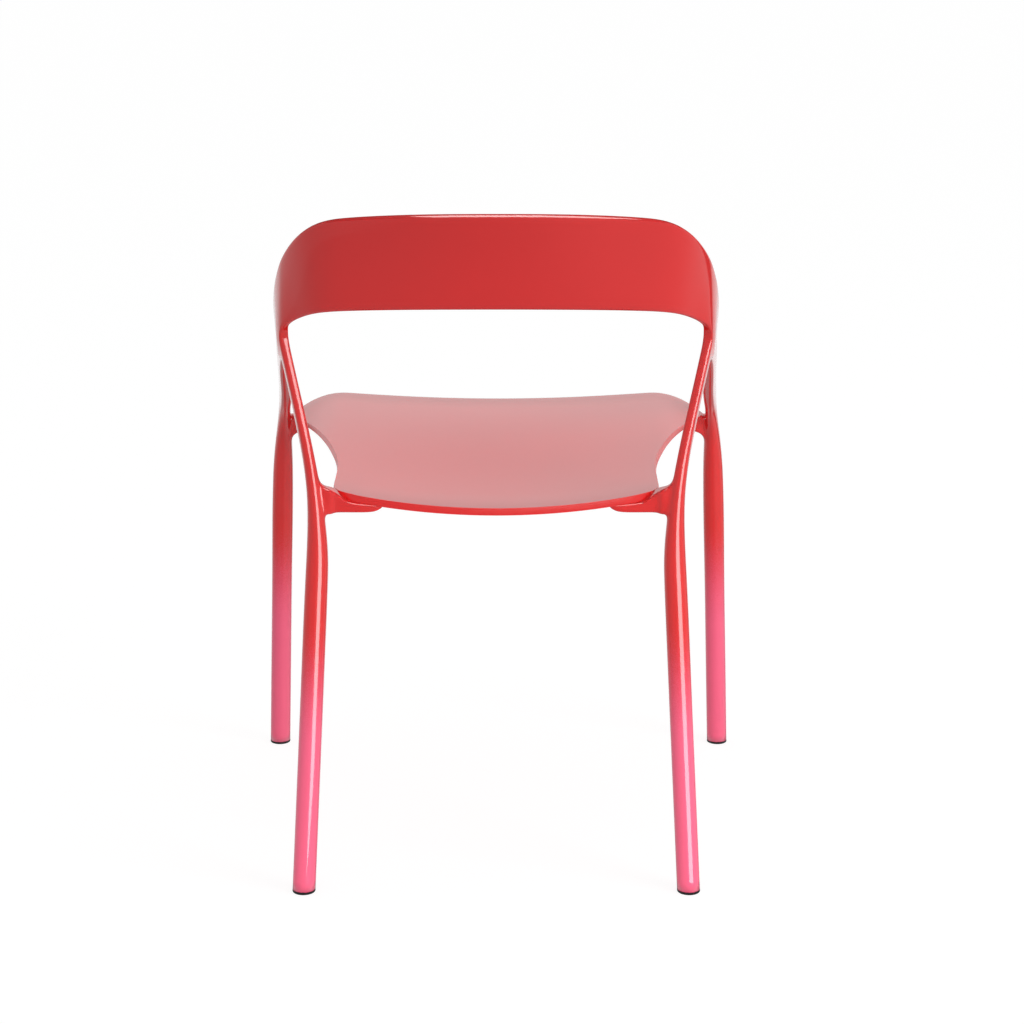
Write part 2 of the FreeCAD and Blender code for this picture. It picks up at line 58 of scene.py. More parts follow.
FRONT_FOOT = np.array([0.278, -0.235, 0.0])
REAR_FOOT = np.array([0.209, 0.235, 0.0])
FRONT_SLOPE = np.array([-math.tan(math.radians(2.3)), math.tan(math.radians(4.4)), 1.0])
REAR_SLOPE = np.array([-math.tan(math.radians(2.75)), -math.tan(math.radians(9.9)), 1.0])
KNEE_HEIGHT = 0.441
KNEE_REACH = 0.055
BLADE_END = np.array([0.2345, 0.070, 0.577])
BLADE_DEPTH = 0.028
BLADE_THICKNESS = 0.0138
BLADE_BOW = 0.0016
YOKE_DEPTH = 0.043
BEND_HEIGHT = 0.415
BEND_REACH = 0.074
BRANCH_ROOT = np.array([0.2261, 0.137, 0.584])
BRANCH_DEPTH = 0.021
BRANCH_THICKNESS = 0.0115
BRANCH_TURN = 12.0
ROUND_SHRINK = (2 + math.cos(math.radians(30))) / 3
RING_POINTS = 12


def mix(start, end, share):
    return start + (end - start) * share


def direction(vector):
    return vector / np.linalg.norm(vector)


def drawn_section(centre, along, depth, thickness, rounding, flat, turn=0.0):
    """One section square to a limb, as a row of numbers that a line can be drawn through."""
    forwards = direction(np.cross((1.0, 0.0, 0.0), along))
    outwards = direction(np.cross(along, forwards))
    angle = math.radians(turn)
    edgeways = (forwards * math.cos(angle) + outwards * math.sin(angle)) * depth / 2
    return np.concatenate([centre + edgeways, centre - edgeways, (thickness, rounding * depth / 2, flat, 0.0)])


def rounded_corner(start, corner, end, share):
    point = start * (1 - share) ** 2 + corner * 2 * share * (1 - share) + end * share**2
    return point, direction(mix(corner - start, end - corner, share))


def limb_line(sections):
    """Smooth line through the drawn sections: the sections, their second derivatives and their lengths."""
    table = np.array(sections)
    middles = (table[:, :3] + table[:, 3:6]) / 2
    steps = np.linalg.norm(np.diff(middles, axis=0), axis=1)
    system = np.eye(len(table))
    pull = np.zeros_like(table)
    for row in range(1, len(table) - 1):
        before, after = steps[row - 1], steps[row]
        system[row, row - 1:row + 2] = before, 2 * (before + after), after
        pull[row] = 6 * ((table[row + 1] - table[row]) / after - (table[row] - table[row - 1]) / before)
    return table, np.linalg.solve(system, pull), np.concatenate([[0.0], np.cumsum(steps)])


def on_line(line, at):
    table, bends, lengths = line
    row = int(np.clip(np.searchsorted(lengths, at) - 1, 0, len(lengths) - 2))
    span = lengths[row + 1] - lengths[row]
    far = (at - lengths[row]) / span
    near = 1 - far
    sway = (near**3 - near) * bends[row] + (far**3 - far) * bends[row + 1]
    return near * table[row] + far * table[row + 1] + sway * span**2 / 6


def section_ring(front_edge, rear_edge, along, thickness, rounding, flat, roll=0.0):
    """Twelve cage points round a section, from one edge over the outer face to the other edge and back."""
    centre = (front_edge + rear_edge) / 2
    wide = direction(front_edge - centre)
    thin = direction(np.cross(along, wide))
    swell = mix(1 / ROUND_SHRINK, 1.0, min(1.0, 2 * flat))
    depth = np.linalg.norm(front_edge - centre)
    rounding = min(rounding, depth)
    low = math.radians(30 + 15 * flat)
    high = math.radians(60 + 30 * flat)
    square = max(0.0, 2 * flat - 1)
    halves = []
    for side, reach in ((1, 1 + roll), (-1, 1 - roll)):
        edge = rounding * reach
        corner = mix(math.sin(low), 1.0, square)
        quarter = [
            (depth - edge * (1 - math.cos(low)) * (1 - square), corner * reach * side - roll),
            (depth - edge * (1 - math.cos(high)), math.sin(high) * reach * side - roll),
        ]
        halves.append(quarter + [(0.0, side)] + [(-x, y) for x, y in reversed(quarter)])
    rim = [(depth, -roll)] + halves[0] + [(-depth, -roll)] + halves[1][::-1]
    return [centre + swell * (wide * x + thin * y * thickness / 2) for x, y in rim]


def limb_ring(line, at):
    here = on_line(line, at)
    ahead = on_line(line, at + 1e-4)
    behind = on_line(line, at - 1e-4)
    along = direction(ahead[:3] + ahead[3:6] - behind[:3] - behind[3:6])
    return section_ring(here[:3], here[3:6], along, *here[6:])


def length_at(line, column, value, low, high):
    """Length along a limb where one number of its section passes a value."""
    rising = on_line(line, high)[column] > on_line(line, low)[column]
    for turn in range(40):
        middle = (low + high) / 2
        if (on_line(line, middle)[column] < value) == rising:
            low = middle
        else:
            high = middle
    return low


BAND, FRONT_LEG, REAR_LEG, FRONT_ARM, REAR_ARM = range(5)
END_TAPER = 0.55
cage_points = []
cage_faces = []
cage_pieces = []


def add_ring(points):
    cage_points.extend(points)
    return list(range(len(cage_points) - RING_POINTS, len(cage_points)))


def bridge(piece, near, far, left_open=()):
    for number in range(RING_POINTS):
        if number not in left_open:
            after = (number + 1) % RING_POINTS
            cage_faces.append((near[number], near[after], far[after], far[number]))
            cage_pieces.append(piece)


def add_limb(line, places, openings, leg, joint):
    """Rings along a limb, a leg up to its joint and the band beyond, open at the given rings and columns."""
    rings = [add_ring(limb_ring(line, at)) for at in places]
    for number in range(len(rings) - 1):
        left_open = []
        for first, count, columns in openings:
            if first <= number < first + count:
                left_open += columns
        bridge(leg if number < joint else BAND, rings[number], rings[number + 1], left_open)
    return rings


def close_end(piece, ring, inwards):
    """Rounded end of an arm or a leg: a smaller ring and one face."""
    centre = sum(cage_points[corner] for corner in ring) / RING_POINTS
    inner = add_ring([mix(centre, cage_points[corner], END_TAPER) + inwards for corner in ring])
    bridge(piece, ring, inner)
    cage_faces.append(tuple(inner))
    cage_pieces.append(piece)


# Front leg and blade: a round tube from the floor, a knee below the seat's front, and a flat blade that
# rises to the band. Band: from the blade's end round the corner to the middle, mirrored at the middle.
knee = FRONT_FOOT + FRONT_SLOPE * KNEE_HEIGHT
knee_start = FRONT_FOOT + FRONT_SLOPE * (KNEE_HEIGHT - KNEE_REACH)
blade_along = direction(BLADE_END - knee)


def blade_point(share):
    return mix(knee, BLADE_END, share) - np.array([4 * BLADE_BOW * share * (1 - share), 0.0, 0.0])


knee_end = blade_point(KNEE_REACH / np.linalg.norm(BLADE_END - knee))
hoop_sections = []
for share in (0.0, 0.33, 0.66, 0.9):
    centre = mix(FRONT_FOOT - FRONT_SLOPE * LEG_DIAMETER / 2, knee_start, share)
    hoop_sections.append(drawn_section(centre, FRONT_SLOPE, LEG_DIAMETER, LEG_DIAMETER, 1.0, 0.0))
for share, roundness, rounding, flat, tuck, turn in (
    (0.05, 0.68, 1.0, 0.0, 0.0004, 0.0),
    (0.35, 0.28, 0.9, 0.1, 0.0009, 0.0),
    (0.62, 0.06, 0.65, 0.35, 0.0011, 3.0),
    (1.0, 0.0, 0.45, 0.6, 0.0012, 6.0),
):
    centre, along = rounded_corner(knee_start, knee, knee_end, share)
    centre = centre - np.array([tuck, 0.0, 0.0])
    depth = mix(BLADE_DEPTH, LEG_DIAMETER, roundness)
    thickness = mix(BLADE_THICKNESS, LEG_DIAMETER, roundness)
    hoop_sections.append(drawn_section(centre, along, depth, thickness, rounding, flat, turn))
for share, growth, rounding, flat, tuck, turn in (
    (0.45, 0.03, 0.35, 0.75, 0.0010, 9.0),
    (0.74, 0.3, 0.3, 0.8, 0.0004, 9.0),
    (1.0, 1.0, 0.25, 0.8, 0.0010, 9.0),
):
    depth = mix(BLADE_DEPTH, YOKE_DEPTH, growth)
    thickness = mix(BLADE_THICKNESS, YOKE_THICKNESS, growth / 2)
    centre = blade_point(share) - np.array([tuck, 0.0, 0.0])
    hoop_sections.append(drawn_section(centre, blade_along, depth, thickness, rounding, flat, turn))
blade_joint = len(hoop_sections) - 1
for top_inset, top_forward, top_drop, low_inset, low_forward, low_drop, thinning, roll in (
    (0.0036, 0.1245, 0.0986, 0.0079, 0.1105, 0.0639, 0.0, 0.0),
    (0.0115, 0.0935, 0.0654, 0.0108, 0.0885, 0.0348, 0.3, 0.0),
    (0.0252, 0.0655, 0.0384, 0.0295, 0.0685, 0.0180, 0.7, 0.1),
    (0.0487, 0.0385, 0.0160, 0.0525, 0.0465, 0.0084, 1.0, 0.4),
    (0.097, 0.0195, 0.0054, 0.099, 0.0305, 0.0034, 1.0, EDGE_ROLL),
    (0.166, 0.0045, 0.0010, 0.166, BAND_LEAN + 0.0035, 0.0008, 1.0, EDGE_ROLL),
    (BAND_SIDE, 0.0, 0.0, BAND_SIDE, BAND_LEAN, 0.0, 1.0, EDGE_ROLL),
):
    thickness = mix(YOKE_THICKNESS, BAND_THICKNESS, thinning)
    hoop_sections.append(np.array([
        BAND_SIDE - top_inset, BAND_BACK - top_forward, BACK_TOP - top_drop,
        BAND_SIDE - low_inset, BAND_BACK - low_forward, BAND_BOTTOM - low_drop,
        thickness, thickness * 0.5, mix(0.8, 0.5, thinning), roll,
    ]))
mirror_signs = np.array([-1, 1, 1, -1, 1, 1, 1, 1, 1, 1])
band_middle = len(hoop_sections) - 1
hoop = limb_line(hoop_sections + [section * mirror_signs for section in reversed(hoop_sections[:-1])])
hoop_lengths = hoop[2]
middle_at = hoop_lengths[band_middle]

# Rear leg: a round tube from the floor, a gentle bend at the seat, and a slim flat branch that is turned a
# little outwards and ends just under the yoke, where it is blended in.
BRANCH_CUT = 0.016
bend_corner = REAR_FOOT + REAR_SLOPE * BEND_HEIGHT
bend_start = REAR_FOOT + REAR_SLOPE * (BEND_HEIGHT - BEND_REACH)
branch_along = direction(BRANCH_ROOT - bend_corner)
bend_end = bend_corner + branch_along * BEND_REACH
rear_sections = []
for share in (0.0, 0.35, 0.7, 0.92):
    centre = mix(REAR_FOOT - REAR_SLOPE * LEG_DIAMETER / 2, bend_start, share)
    rear_sections.append(drawn_section(centre, REAR_SLOPE, LEG_DIAMETER, LEG_DIAMETER, 1.0, 0.0))
for share, roundness, rounding, flat, turn in (
    (0.12, 0.9, 1.0, 0.0, 0.0),
    (0.35, 0.62, 1.0, 0.05, 1.0),
    (0.6, 0.3, 0.75, 0.3, 4.0),
    (1.0, 0.04, 0.5, 0.6, BRANCH_TURN),
):
    centre, along = rounded_corner(bend_start, bend_corner, bend_end, share)
    depth = mix(BRANCH_DEPTH, LEG_DIAMETER, roundness)
    thickness = mix(BRANCH_THICKNESS, LEG_DIAMETER, roundness)
    rear_sections.append(drawn_section(centre, along, depth, thickness, rounding, flat, turn))
for rise, slimming in ((-0.05, 0.0006), (-0.016, 0.0006), (0.012, 0.0002)):
    inwards = np.array([-slimming / 2, 0.0, 0.0])
    centre = BRANCH_ROOT + branch_along * rise + inwards
    thickness = BRANCH_THICKNESS - slimming
    rear_sections.append(drawn_section(centre, branch_along, BRANCH_DEPTH, thickness, 0.4, 0.7, BRANCH_TURN))
rear_limb = limb_line(rear_sections)
branch_end = rear_limb[2][-1] - BRANCH_CUT

# Cage of the left half: rings along both limbs, open where the branch meets the yoke and where the seat
# arms leave the legs. The branch's last rings lean like the yoke's lower edge.
FRONT_ARM_HEIGHTS = (0.4095, 0.4385)
REAR_ARM_HEIGHTS = (0.4025, 0.4335)
YOKE_OPENING = (0.1215, 0.151)
FORK_LEAN = 1.3
FORK_LEAN_SHARES = (0.3, 0.65, 1.0)
ARM_STEPS = 4
TUBE_SPACING = 0.04


def foot_ring(line, slope):
    """Lowest ring of a leg, cut level just above its glide."""
    at = length_at(line, 2, GLIDE_HEIGHT, 0.0, 0.1)
    level = GLIDE_HEIGHT + 0.0001
    return at, [point + slope * (level - point[2]) for point in limb_ring(line, at)]


def spaced(start, end, spacing):
    count = max(1, round((end - start) / spacing))
    return [mix(start, end, number / count) for number in range(count + 1)]


front_arm_low, front_arm_high = [length_at(hoop, 2, height, 0.3, 0.55) for height in FRONT_ARM_HEIGHTS]
blade_end_at = hoop_lengths[blade_joint]
yoke_low, yoke_high = [length_at(hoop, 4, depth, blade_end_at, middle_at) for depth in YOKE_OPENING]
foot_at, foot_points = foot_ring(hoop, FRONT_SLOPE)
hoop_places = spaced(foot_at, front_arm_low - 0.05, TUBE_SPACING)
hoop_places += spaced(front_arm_low - 0.05, front_arm_low, 0.0125)[1:]
first_front_arm = len(hoop_places) - 1
hoop_places += spaced(front_arm_low, front_arm_high, (front_arm_high - front_arm_low) / ARM_STEPS)[1:]
hoop_places += spaced(front_arm_high, front_arm_high + 0.06, 0.01)[1:]
hoop_places += spaced(hoop_places[-1], blade_end_at, 0.018)[1:]
front_joint = len(hoop_places) - 1
hoop_places += spaced(hoop_places[-1], yoke_low, 0.01)[1:]
first_yoke = len(hoop_places) - 1
hoop_places += spaced(yoke_low, yoke_high, (yoke_high - yoke_low) / 2)[1:]
hoop_places += spaced(yoke_high, yoke_high + 0.10, 0.010)[1:]
hoop_places += spaced(hoop_places[-1], middle_at, 0.02)[1:]
hoop_openings = [(first_yoke, 2, (4, 5, 6, 7)), (first_front_arm, ARM_STEPS, (8, 9))]
hoop_rings = add_limb(hoop, hoop_places, hoop_openings, FRONT_LEG, front_joint)

rear_arm_low, rear_arm_high = [length_at(rear_limb, 2, height, 0.3, 0.55) for height in REAR_ARM_HEIGHTS]
rear_foot_at, rear_foot_points = foot_ring(rear_limb, REAR_SLOPE)
rear_places = spaced(rear_foot_at, rear_arm_low - 0.06, TUBE_SPACING)
rear_places += spaced(rear_arm_low - 0.06, rear_arm_low, 0.012)[1:]
first_rear_arm = len(rear_places) - 1
rear_places += spaced(rear_arm_low, rear_arm_high, (rear_arm_high - rear_arm_low) / ARM_STEPS)[1:]
rear_places += spaced(rear_arm_high, branch_end, 0.013)[1:]
rear_openings = [(first_rear_arm, ARM_STEPS, (8, 9))]
rear_rings = add_limb(rear_limb, rear_places, rear_openings, REAR_LEG, len(rear_places))
for rings, points in ((hoop_rings, foot_points), (rear_rings, rear_foot_points)):
    for corner, point in zip(rings[0], points):
        cage_points[corner] = point

for ring, share in zip(rear_rings[-3:], FORK_LEAN_SHARES):
    middle = sum(cage_points[corner] for corner in ring) / RING_POINTS
    for corner in ring:
        rearwards = cage_points[corner][1] - middle[1]
        cage_points[corner] = cage_points[corner] + branch_along * rearwards * FORK_LEAN * share
near, within, far = hoop_rings[first_yoke:first_yoke + 3]
yoke_rim = [near[6], near[5], near[4], within[4], far[4], far[5]]
yoke_rim += [far[6], far[7], far[8], within[8], near[8], near[7]]
bridge(BAND, rear_rings[-1], yoke_rim)
for leg, rings in ((FRONT_LEG, hoop_rings), (REAR_LEG, rear_rings)):
    close_end(leg, rings[0][::-1], np.zeros(3))

# Seat arms: short filleted arms that grow out of the legs and run on under the seat as tapered ribs.
# Each row is a section: reach inwards from the leg, top, bottom, depth and setback.
FRONT_ARM_ROWS = (
    (0.0155, 0.0150, -0.0115, 0.0225, 0.0030),
    (0.0220, 0.0165, -0.0100, 0.0245, 0.0030),
    (0.0360, 0.0210, -0.0030, 0.0250, 0.0030),
    (0.0600, 0.0265, 0.0080, 0.0230, 0.0030),
    (0.0700, 0.0270, 0.0135, 0.0190, 0.0030),
)
REAR_ARM_ROWS = (
    (0.0120, 0.0150, -0.0135, 0.0230, -0.0045),
    (0.0150, 0.0125, -0.0122, 0.0215, -0.00725),
    (0.0215, 0.0090, -0.0116, 0.0215, -0.00725),
    (0.0290, 0.0012, -0.0114, 0.0225, -0.00775),
    (0.0400, -0.0004, -0.0114, 0.0235, -0.00825),
    (0.0570, -0.0024, -0.0112, 0.0240, -0.0085),
    (0.0640, -0.0030, -0.0080, 0.0220, -0.0080),
)
ARM_EDGE_SHARE = 0.2
ARM_FLATNESS = 0.9
ARM_TIP = np.array([-0.004, 0.0, 0.0015])
FRONT_ARM_ROOT = FRONT_FOOT + FRONT_SLOPE * 0.4235
REAR_ARM_ROOT = REAR_FOOT + REAR_SLOPE * 0.4175
for arm, rings, first, root, rows in (
    (FRONT_ARM, hoop_rings, first_front_arm, FRONT_ARM_ROOT, FRONT_ARM_ROWS),
    (REAR_ARM, rear_rings, first_rear_arm, REAR_ARM_ROOT, REAR_ARM_ROWS),
):
    side = rings[first:first + ARM_STEPS + 1]
    before = [side[4][9], side[4][8], side[3][8], side[2][8], side[1][8], side[0][8]]
    before += [side[0][9], side[0][10], side[1][10], side[2][10], side[3][10], side[4][10]]
    for reach, top, bottom, depth, setback in rows:
        centre = root + np.array([-reach, setback, 0.0])
        upper = centre + np.array([0.0, 0.0, top])
        lower = centre + np.array([0.0, 0.0, bottom])
        edge = (top - bottom) * ARM_EDGE_SHARE
        ring = add_ring(section_ring(upper, lower, np.array([-1.0, 0.0, 0.0]), depth, edge, ARM_FLATNESS))
        bridge(arm, before, ring)
        before = ring
    close_end(arm, before, ARM_TIP)

# Both halves are joined at the middle of the band and smoothed into one skin, which is then parted at the
# hidden joints into the band, four legs and four arms. They are filled and lacquered over, so none shows.
half_count = len(cage_points)
skin_points = [tuple(point) for point in cage_points]
skin_points += [(-point[0], point[1], point[2]) for point in cage_points]
skin_faces = list(cage_faces)
skin_faces += [tuple(corner + half_count for corner in reversed(face)) for face in cage_faces]
right_pieces = [piece if piece == BAND else piece + REAR_ARM for piece in cage_pieces]
skin_mesh = bpy.data.meshes.new("skin")
skin_mesh.from_pydata(skin_points, [], skin_faces)
skin_mesh.polygons.foreach_set("material_index", cage_pieces + right_pieces)
builder = bmesh.new()
builder.from_mesh(skin_mesh)
builder.verts.ensure_lookup_table()
crease = builder.edges.layers.float.new("crease_edge")
for ring in (hoop_rings[0], rear_rings[0]):
    for offset in (0, half_count):
        corners = [builder.verts[corner + offset] for corner in ring]
        for near, far in zip(corners, corners[1:] + corners[:1]):
            builder.edges.get((near, far))[crease] = 1.0
bmesh.ops.delete(builder, geom=[vert for vert in builder.verts if not vert.link_faces], context="VERTS")
bmesh.ops.remove_doubles(builder, verts=builder.verts, dist=1e-5)
bmesh.ops.recalc_face_normals(builder, faces=builder.faces)
builder.to_mesh(skin_mesh)
builder.free()
skin = bpy.data.objects.new("skin", skin_mesh)
bpy.context.scene.collection.objects.link(skin)
smoothing = skin.modifiers.new("smooth skin", "SUBSURF")
smoothing.levels = 2
smoothing.render_levels = 2


def finished_mesh(piece):
    """Turn a piece and its modifiers into a plain smooth mesh."""
    evaluated = piece.evaluated_get(bpy.context.evaluated_depsgraph_get())
    mesh = bpy.data.meshes.new_from_object(evaluated)
    mesh.name = piece.name
    piece.modifiers.clear()
    piece.data = mesh
    mesh.shade_smooth()


def parted(whole, number, name):
    """One piece of the skin, closed at its joints and shaded as part of the whole."""
    faces = [tuple(face.vertices) for face in whole.polygons if face.material_index == number]
    sides = {(face[place - 1], face[place]) for face in faces for place in range(len(face))}
    rim = {end: start for start, end in sides if (end, start) not in sides}
    ends = []
    while rim:
        loop = [next(iter(rim))]
        while rim[loop[-1]] != loop[0]:
            loop.append(rim[loop[-1]])
        for corner in loop:
            del rim[corner]
        ends.append(tuple(loop))
    used = sorted({corner for face in faces for corner in face})
    place_of = {corner: place for place, corner in enumerate(used)}
    mesh = bpy.data.meshes.new(name)
    all_faces = [tuple(place_of[corner] for corner in face) for face in faces + ends]
    mesh.from_pydata([whole.vertices[corner].co for corner in used], [], all_faces)
    mesh.shade_smooth()
    shading = []
    for number, face in enumerate(faces + ends):
        flat = mesh.polygons[number].normal
        shading += [whole.vertices[corner].normal if number < len(faces) else flat for corner in face]
    mesh.normals_split_custom_set(shading)
    piece = bpy.data.objects.new(name, mesh)
    bpy.context.scene.collection.objects.link(piece)
    return piece


finished_mesh(skin)
back_band = parted(skin.data, BAND, "lacquered_band")
legs = {}
arms = {}
for side, step in (("left", 0), ("right", REAR_ARM)):
    for end, leg, arm in (("front", FRONT_LEG, FRONT_ARM), ("rear", REAR_LEG, REAR_ARM)):
        place = f"{side}_{end}"
        legs[place] = parted(skin.data, leg + step, f"lacquered_{place}_leg")
        arms[place] = parted(skin.data, arm + step, f"lacquered_{place}_arm")
bpy.data.objects.remove(skin)

# Lacquer: red over the whole chair, fading to pink down the legs as sprayed mist, under a clear gloss
# coat with a trace of orange peel.
RED = (0.78, 0.010, 0.010, 1.0)
PINK = (0.98, 0.118, 0.235, 1.0)
FADE_TOP = 0.295
FADE_BOTTOM = 0.155
MIST_SCALE = 900.0
MIST_DRIFT = 0.03
CLOUD_SCALE = 7.0
CLOUD_DEPTH = 0.04
PEEL_SCALE = 260.0
PEEL_HEIGHT = 0.0002


def lacquer(name, coat, coat_roughness, peel):
    paint = bpy.data.materials.new(name)
    paint.use_nodes = True
    nodes = paint.node_tree.nodes
    links = paint.node_tree.links
    shader = nodes["Principled BSDF"]
    place = nodes.new("ShaderNodeTexCoord")
    height = nodes.new("ShaderNodeSeparateXYZ")
    links.new(place.outputs["Object"], height.inputs[0])
    mist = nodes.new("ShaderNodeTexNoise")
    mist.inputs["Scale"].default_value = MIST_SCALE
    mist.inputs["Detail"].default_value = 2.0
    links.new(place.outputs["Object"], mist.inputs["Vector"])
    drift = nodes.new("ShaderNodeMapRange")
    drift.inputs["To Min"].default_value = -MIST_DRIFT
    drift.inputs["To Max"].default_value = MIST_DRIFT
    links.new(mist.outputs["Fac"], drift.inputs["Value"])
    misted = nodes.new("ShaderNodeMath")
    misted.operation = "ADD"
    links.new(height.outputs["Z"], misted.inputs[0])
    links.new(drift.outputs["Result"], misted.inputs[1])
    fade = nodes.new("ShaderNodeMapRange")
    fade.interpolation_type = "SMOOTHSTEP"
    fade.inputs["From Min"].default_value = FADE_BOTTOM
    fade.inputs["From Max"].default_value = FADE_TOP
    links.new(misted.outputs[0], fade.inputs["Value"])
    colour = nodes.new("ShaderNodeMix")
    colour.data_type = "RGBA"
    colour.inputs["A"].default_value = PINK
    colour.inputs["B"].default_value = RED
    links.new(fade.outputs["Result"], colour.inputs["Factor"])
    cloud = nodes.new("ShaderNodeTexNoise")
    cloud.inputs["Scale"].default_value = CLOUD_SCALE
    cloud.inputs["Detail"].default_value = 3.0
    links.new(place.outputs["Object"], cloud.inputs["Vector"])
    depth = nodes.new("ShaderNodeMapRange")
    depth.inputs["To Min"].default_value = 1 - CLOUD_DEPTH
    depth.inputs["To Max"].default_value = 1 + CLOUD_DEPTH
    links.new(cloud.outputs["Fac"], depth.inputs["Value"])
    shade = nodes.new("ShaderNodeHueSaturation")
    links.new(colour.outputs["Result"], shade.inputs["Color"])
    links.new(depth.outputs["Result"], shade.inputs["Value"])
    links.new(shade.outputs["Color"], shader.inputs["Base Color"])
    ripple = nodes.new("ShaderNodeTexNoise")
    ripple.inputs["Scale"].default_value = PEEL_SCALE
    ripple.inputs["Detail"].default_value = 1.5
    links.new(place.outputs["Object"], ripple.inputs["Vector"])
    bump = nodes.new("ShaderNodeBump")
    bump.inputs["Strength"].default_value = peel
    bump.inputs["Distance"].default_value = PEEL_HEIGHT
    links.new(ripple.outputs["Fac"], bump.inputs["Height"])
    links.new(bump.outputs["Normal"], shader.inputs["Coat Normal"])
    shader.inputs["Roughness"].default_value = 0.45
    shader.inputs["Specular IOR Level"].default_value = 0.1
    shader.inputs["Coat Weight"].default_value = coat
    shader.inputs["Coat Roughness"].default_value = coat_roughness
    shader.inputs["Coat IOR"].default_value = 1.5
    return paint


frame_lacquer = lacquer("frame_lacquer", 1.0, 0.03, 0.05)
back_band.data.materials.append(frame_lacquer)
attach(back_band, "root")
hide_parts("backrest_band")
for place, leg in legs.items():
    leg.data.materials.append(frame_lacquer)
    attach(leg, "root")
    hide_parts(f"{place}_leg")
for place, arm in arms.items():
    arm.data.materials.append(frame_lacquer)
    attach(arm, "root")
    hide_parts(f"{place}_bracket")

# Seat: a thin pressed shell with a dished saddle, rolled-down front corners, waisted sides and a raised
# rear lip, lacquered like the frame and screwed to the seat arms. Its rule is built in Geometry Nodes.
SEAT_RULE = {
    "Front": -0.243,
    "Rear": 0.172,
    "Height": 0.4475,
    "Drop": 0.0365,
    "Waist": 0.176,
    "Flare": 0.0735,
    "Taper": 0.78,
    "Front corner": 0.0265,
    "Rear corner": 0.0064,
    "Front bow": 0.017,
    "Rear bow": 0.020,
    "Front dish": 0.007,
    "Rear dish": 0.017,
    "Dish width": 0.35,
    "Roll width": 0.37,
    "Roll": 6.5,
    "Front fall": 0.003,
    "Rear lip": 0.0025,
}
SEAT_THICKNESS = 0.008
SEAT_EDGE = 0.0038
SEAT_COLUMNS = 121
SEAT_ROWS = 101
RIM_CROWDING = 1.35
FRONT_CORNER_RUN = 0.09
REAR_CORNER_RUN = 0.07
FALL_RUN = 0.15
LIP_RUN = 0.15


class Measure:
    """A number that the seat's tree works out at each point."""

    def __init__(self, socket):
        self.socket = socket

    def work(self, operation, *others):
        tree = self.socket.id_data
        node = tree.nodes.new("ShaderNodeMath")
        node.operation = operation
        for place, value in zip(node.inputs, (self,) + others):
            if isinstance(value, Measure):
                tree.links.new(value.socket, place)
            else:
                place.default_value = value
        return Measure(node.outputs[0])

    def __add__(self, other):
        return self.work("ADD", other)

    def __sub__(self, other):
        return self.work("SUBTRACT", other)

    def __mul__(self, other):
        return self.work("MULTIPLY", other)

    def __truediv__(self, other):
        return self.work("DIVIDE", other)

    def power(self, exponent):
        return self.work("POWER", exponent)

    def size(self):
        return self.work("ABSOLUTE")

    def above(self, floor):
        return self.work("MAXIMUM", floor)

    def below(self, ceiling):
        return self.work("MINIMUM", ceiling)

    def sine(self):
        return self.work("SINE")

    def eased(self):
        share = self.above(0.0).below(1.0)
        return share * share * (share * -2.0 + 3.0)


seat_lacquer = lacquer("seat_lacquer", 1.0, 0.27, 0.10)
seat_tree = bpy.data.node_groups.new("saddle seat", "GeometryNodeTree")
seat_tree.interface.new_socket("Geometry", in_out="INPUT", socket_type="NodeSocketGeometry")
seat_tree.interface.new_socket("Geometry", in_out="OUTPUT", socket_type="NodeSocketGeometry")
seat_inputs = {}
for name in SEAT_RULE:
    seat_inputs[name] = seat_tree.interface.new_socket(name, in_out="INPUT", socket_type="NodeSocketFloat")
given = seat_tree.nodes.new("NodeGroupInput")
rule = {name: Measure(given.outputs[name]) for name in SEAT_RULE}
grid = seat_tree.nodes.new("GeometryNodeMeshGrid")
grid.inputs["Size X"].default_value = 2.0
grid.inputs["Size Y"].default_value = 2.0
grid.inputs["Vertices X"].default_value = SEAT_COLUMNS
grid.inputs["Vertices Y"].default_value = SEAT_ROWS
flat_place = seat_tree.nodes.new("GeometryNodeInputPosition")
flat_parts = seat_tree.nodes.new("ShaderNodeSeparateXYZ")
seat_tree.links.new(flat_place.outputs[0], flat_parts.inputs[0])
across = (Measure(flat_parts.outputs["X"]) * RIM_CROWDING).sine() * (1 / math.sin(RIM_CROWDING))
run = (Measure(flat_parts.outputs["Y"]) * RIM_CROWDING).sine() * (0.5 / math.sin(RIM_CROWDING)) + 0.5
aside = across.size()
half_width = rule["Waist"] + rule["Flare"] - rule["Flare"] * (run / rule["Taper"]).eased()
half_width = half_width - rule["Front corner"] * (run * (-1 / FRONT_CORNER_RUN) + 1.0).above(0.0).power(2.0)
rear_corner = ((run - (1 - REAR_CORNER_RUN)) * (1 / REAR_CORNER_RUN)).above(0.0)
half_width = half_width - rule["Rear corner"] * rear_corner.power(2.0)
front_edge = rule["Front"] + rule["Front bow"] * aside.power(7.0)
rear_edge = rule["Rear"] - rule["Rear bow"] * (aside.power(2.0) * 0.65 + aside.power(14.0) * 0.35)
x = across * half_width
y = front_edge + (rear_edge - front_edge) * run
length_share = (y - rule["Front"]) / (rule["Rear"] - rule["Front"])
slope = length_share.eased()
dish = rule["Front dish"] + (rule["Rear dish"] - rule["Front dish"]) * slope
z = rule["Height"] - rule["Drop"] * slope
z = z - rule["Front fall"] * (length_share * (-1 / FALL_RUN) + 1.0).above(0.0).power(2.0)
rear_lip = ((length_share - (1 - LIP_RUN)) * (1 / LIP_RUN)).above(0.0)
z = z + rule["Rear lip"] * rear_lip.power(2.0)
z = z + dish * (x * 2.0 / rule["Dish width"]).size().power(2.0)
z = z - rule["Roll"] * (x.size() - rule["Roll width"] * 0.5).above(0.0).power(2.0)
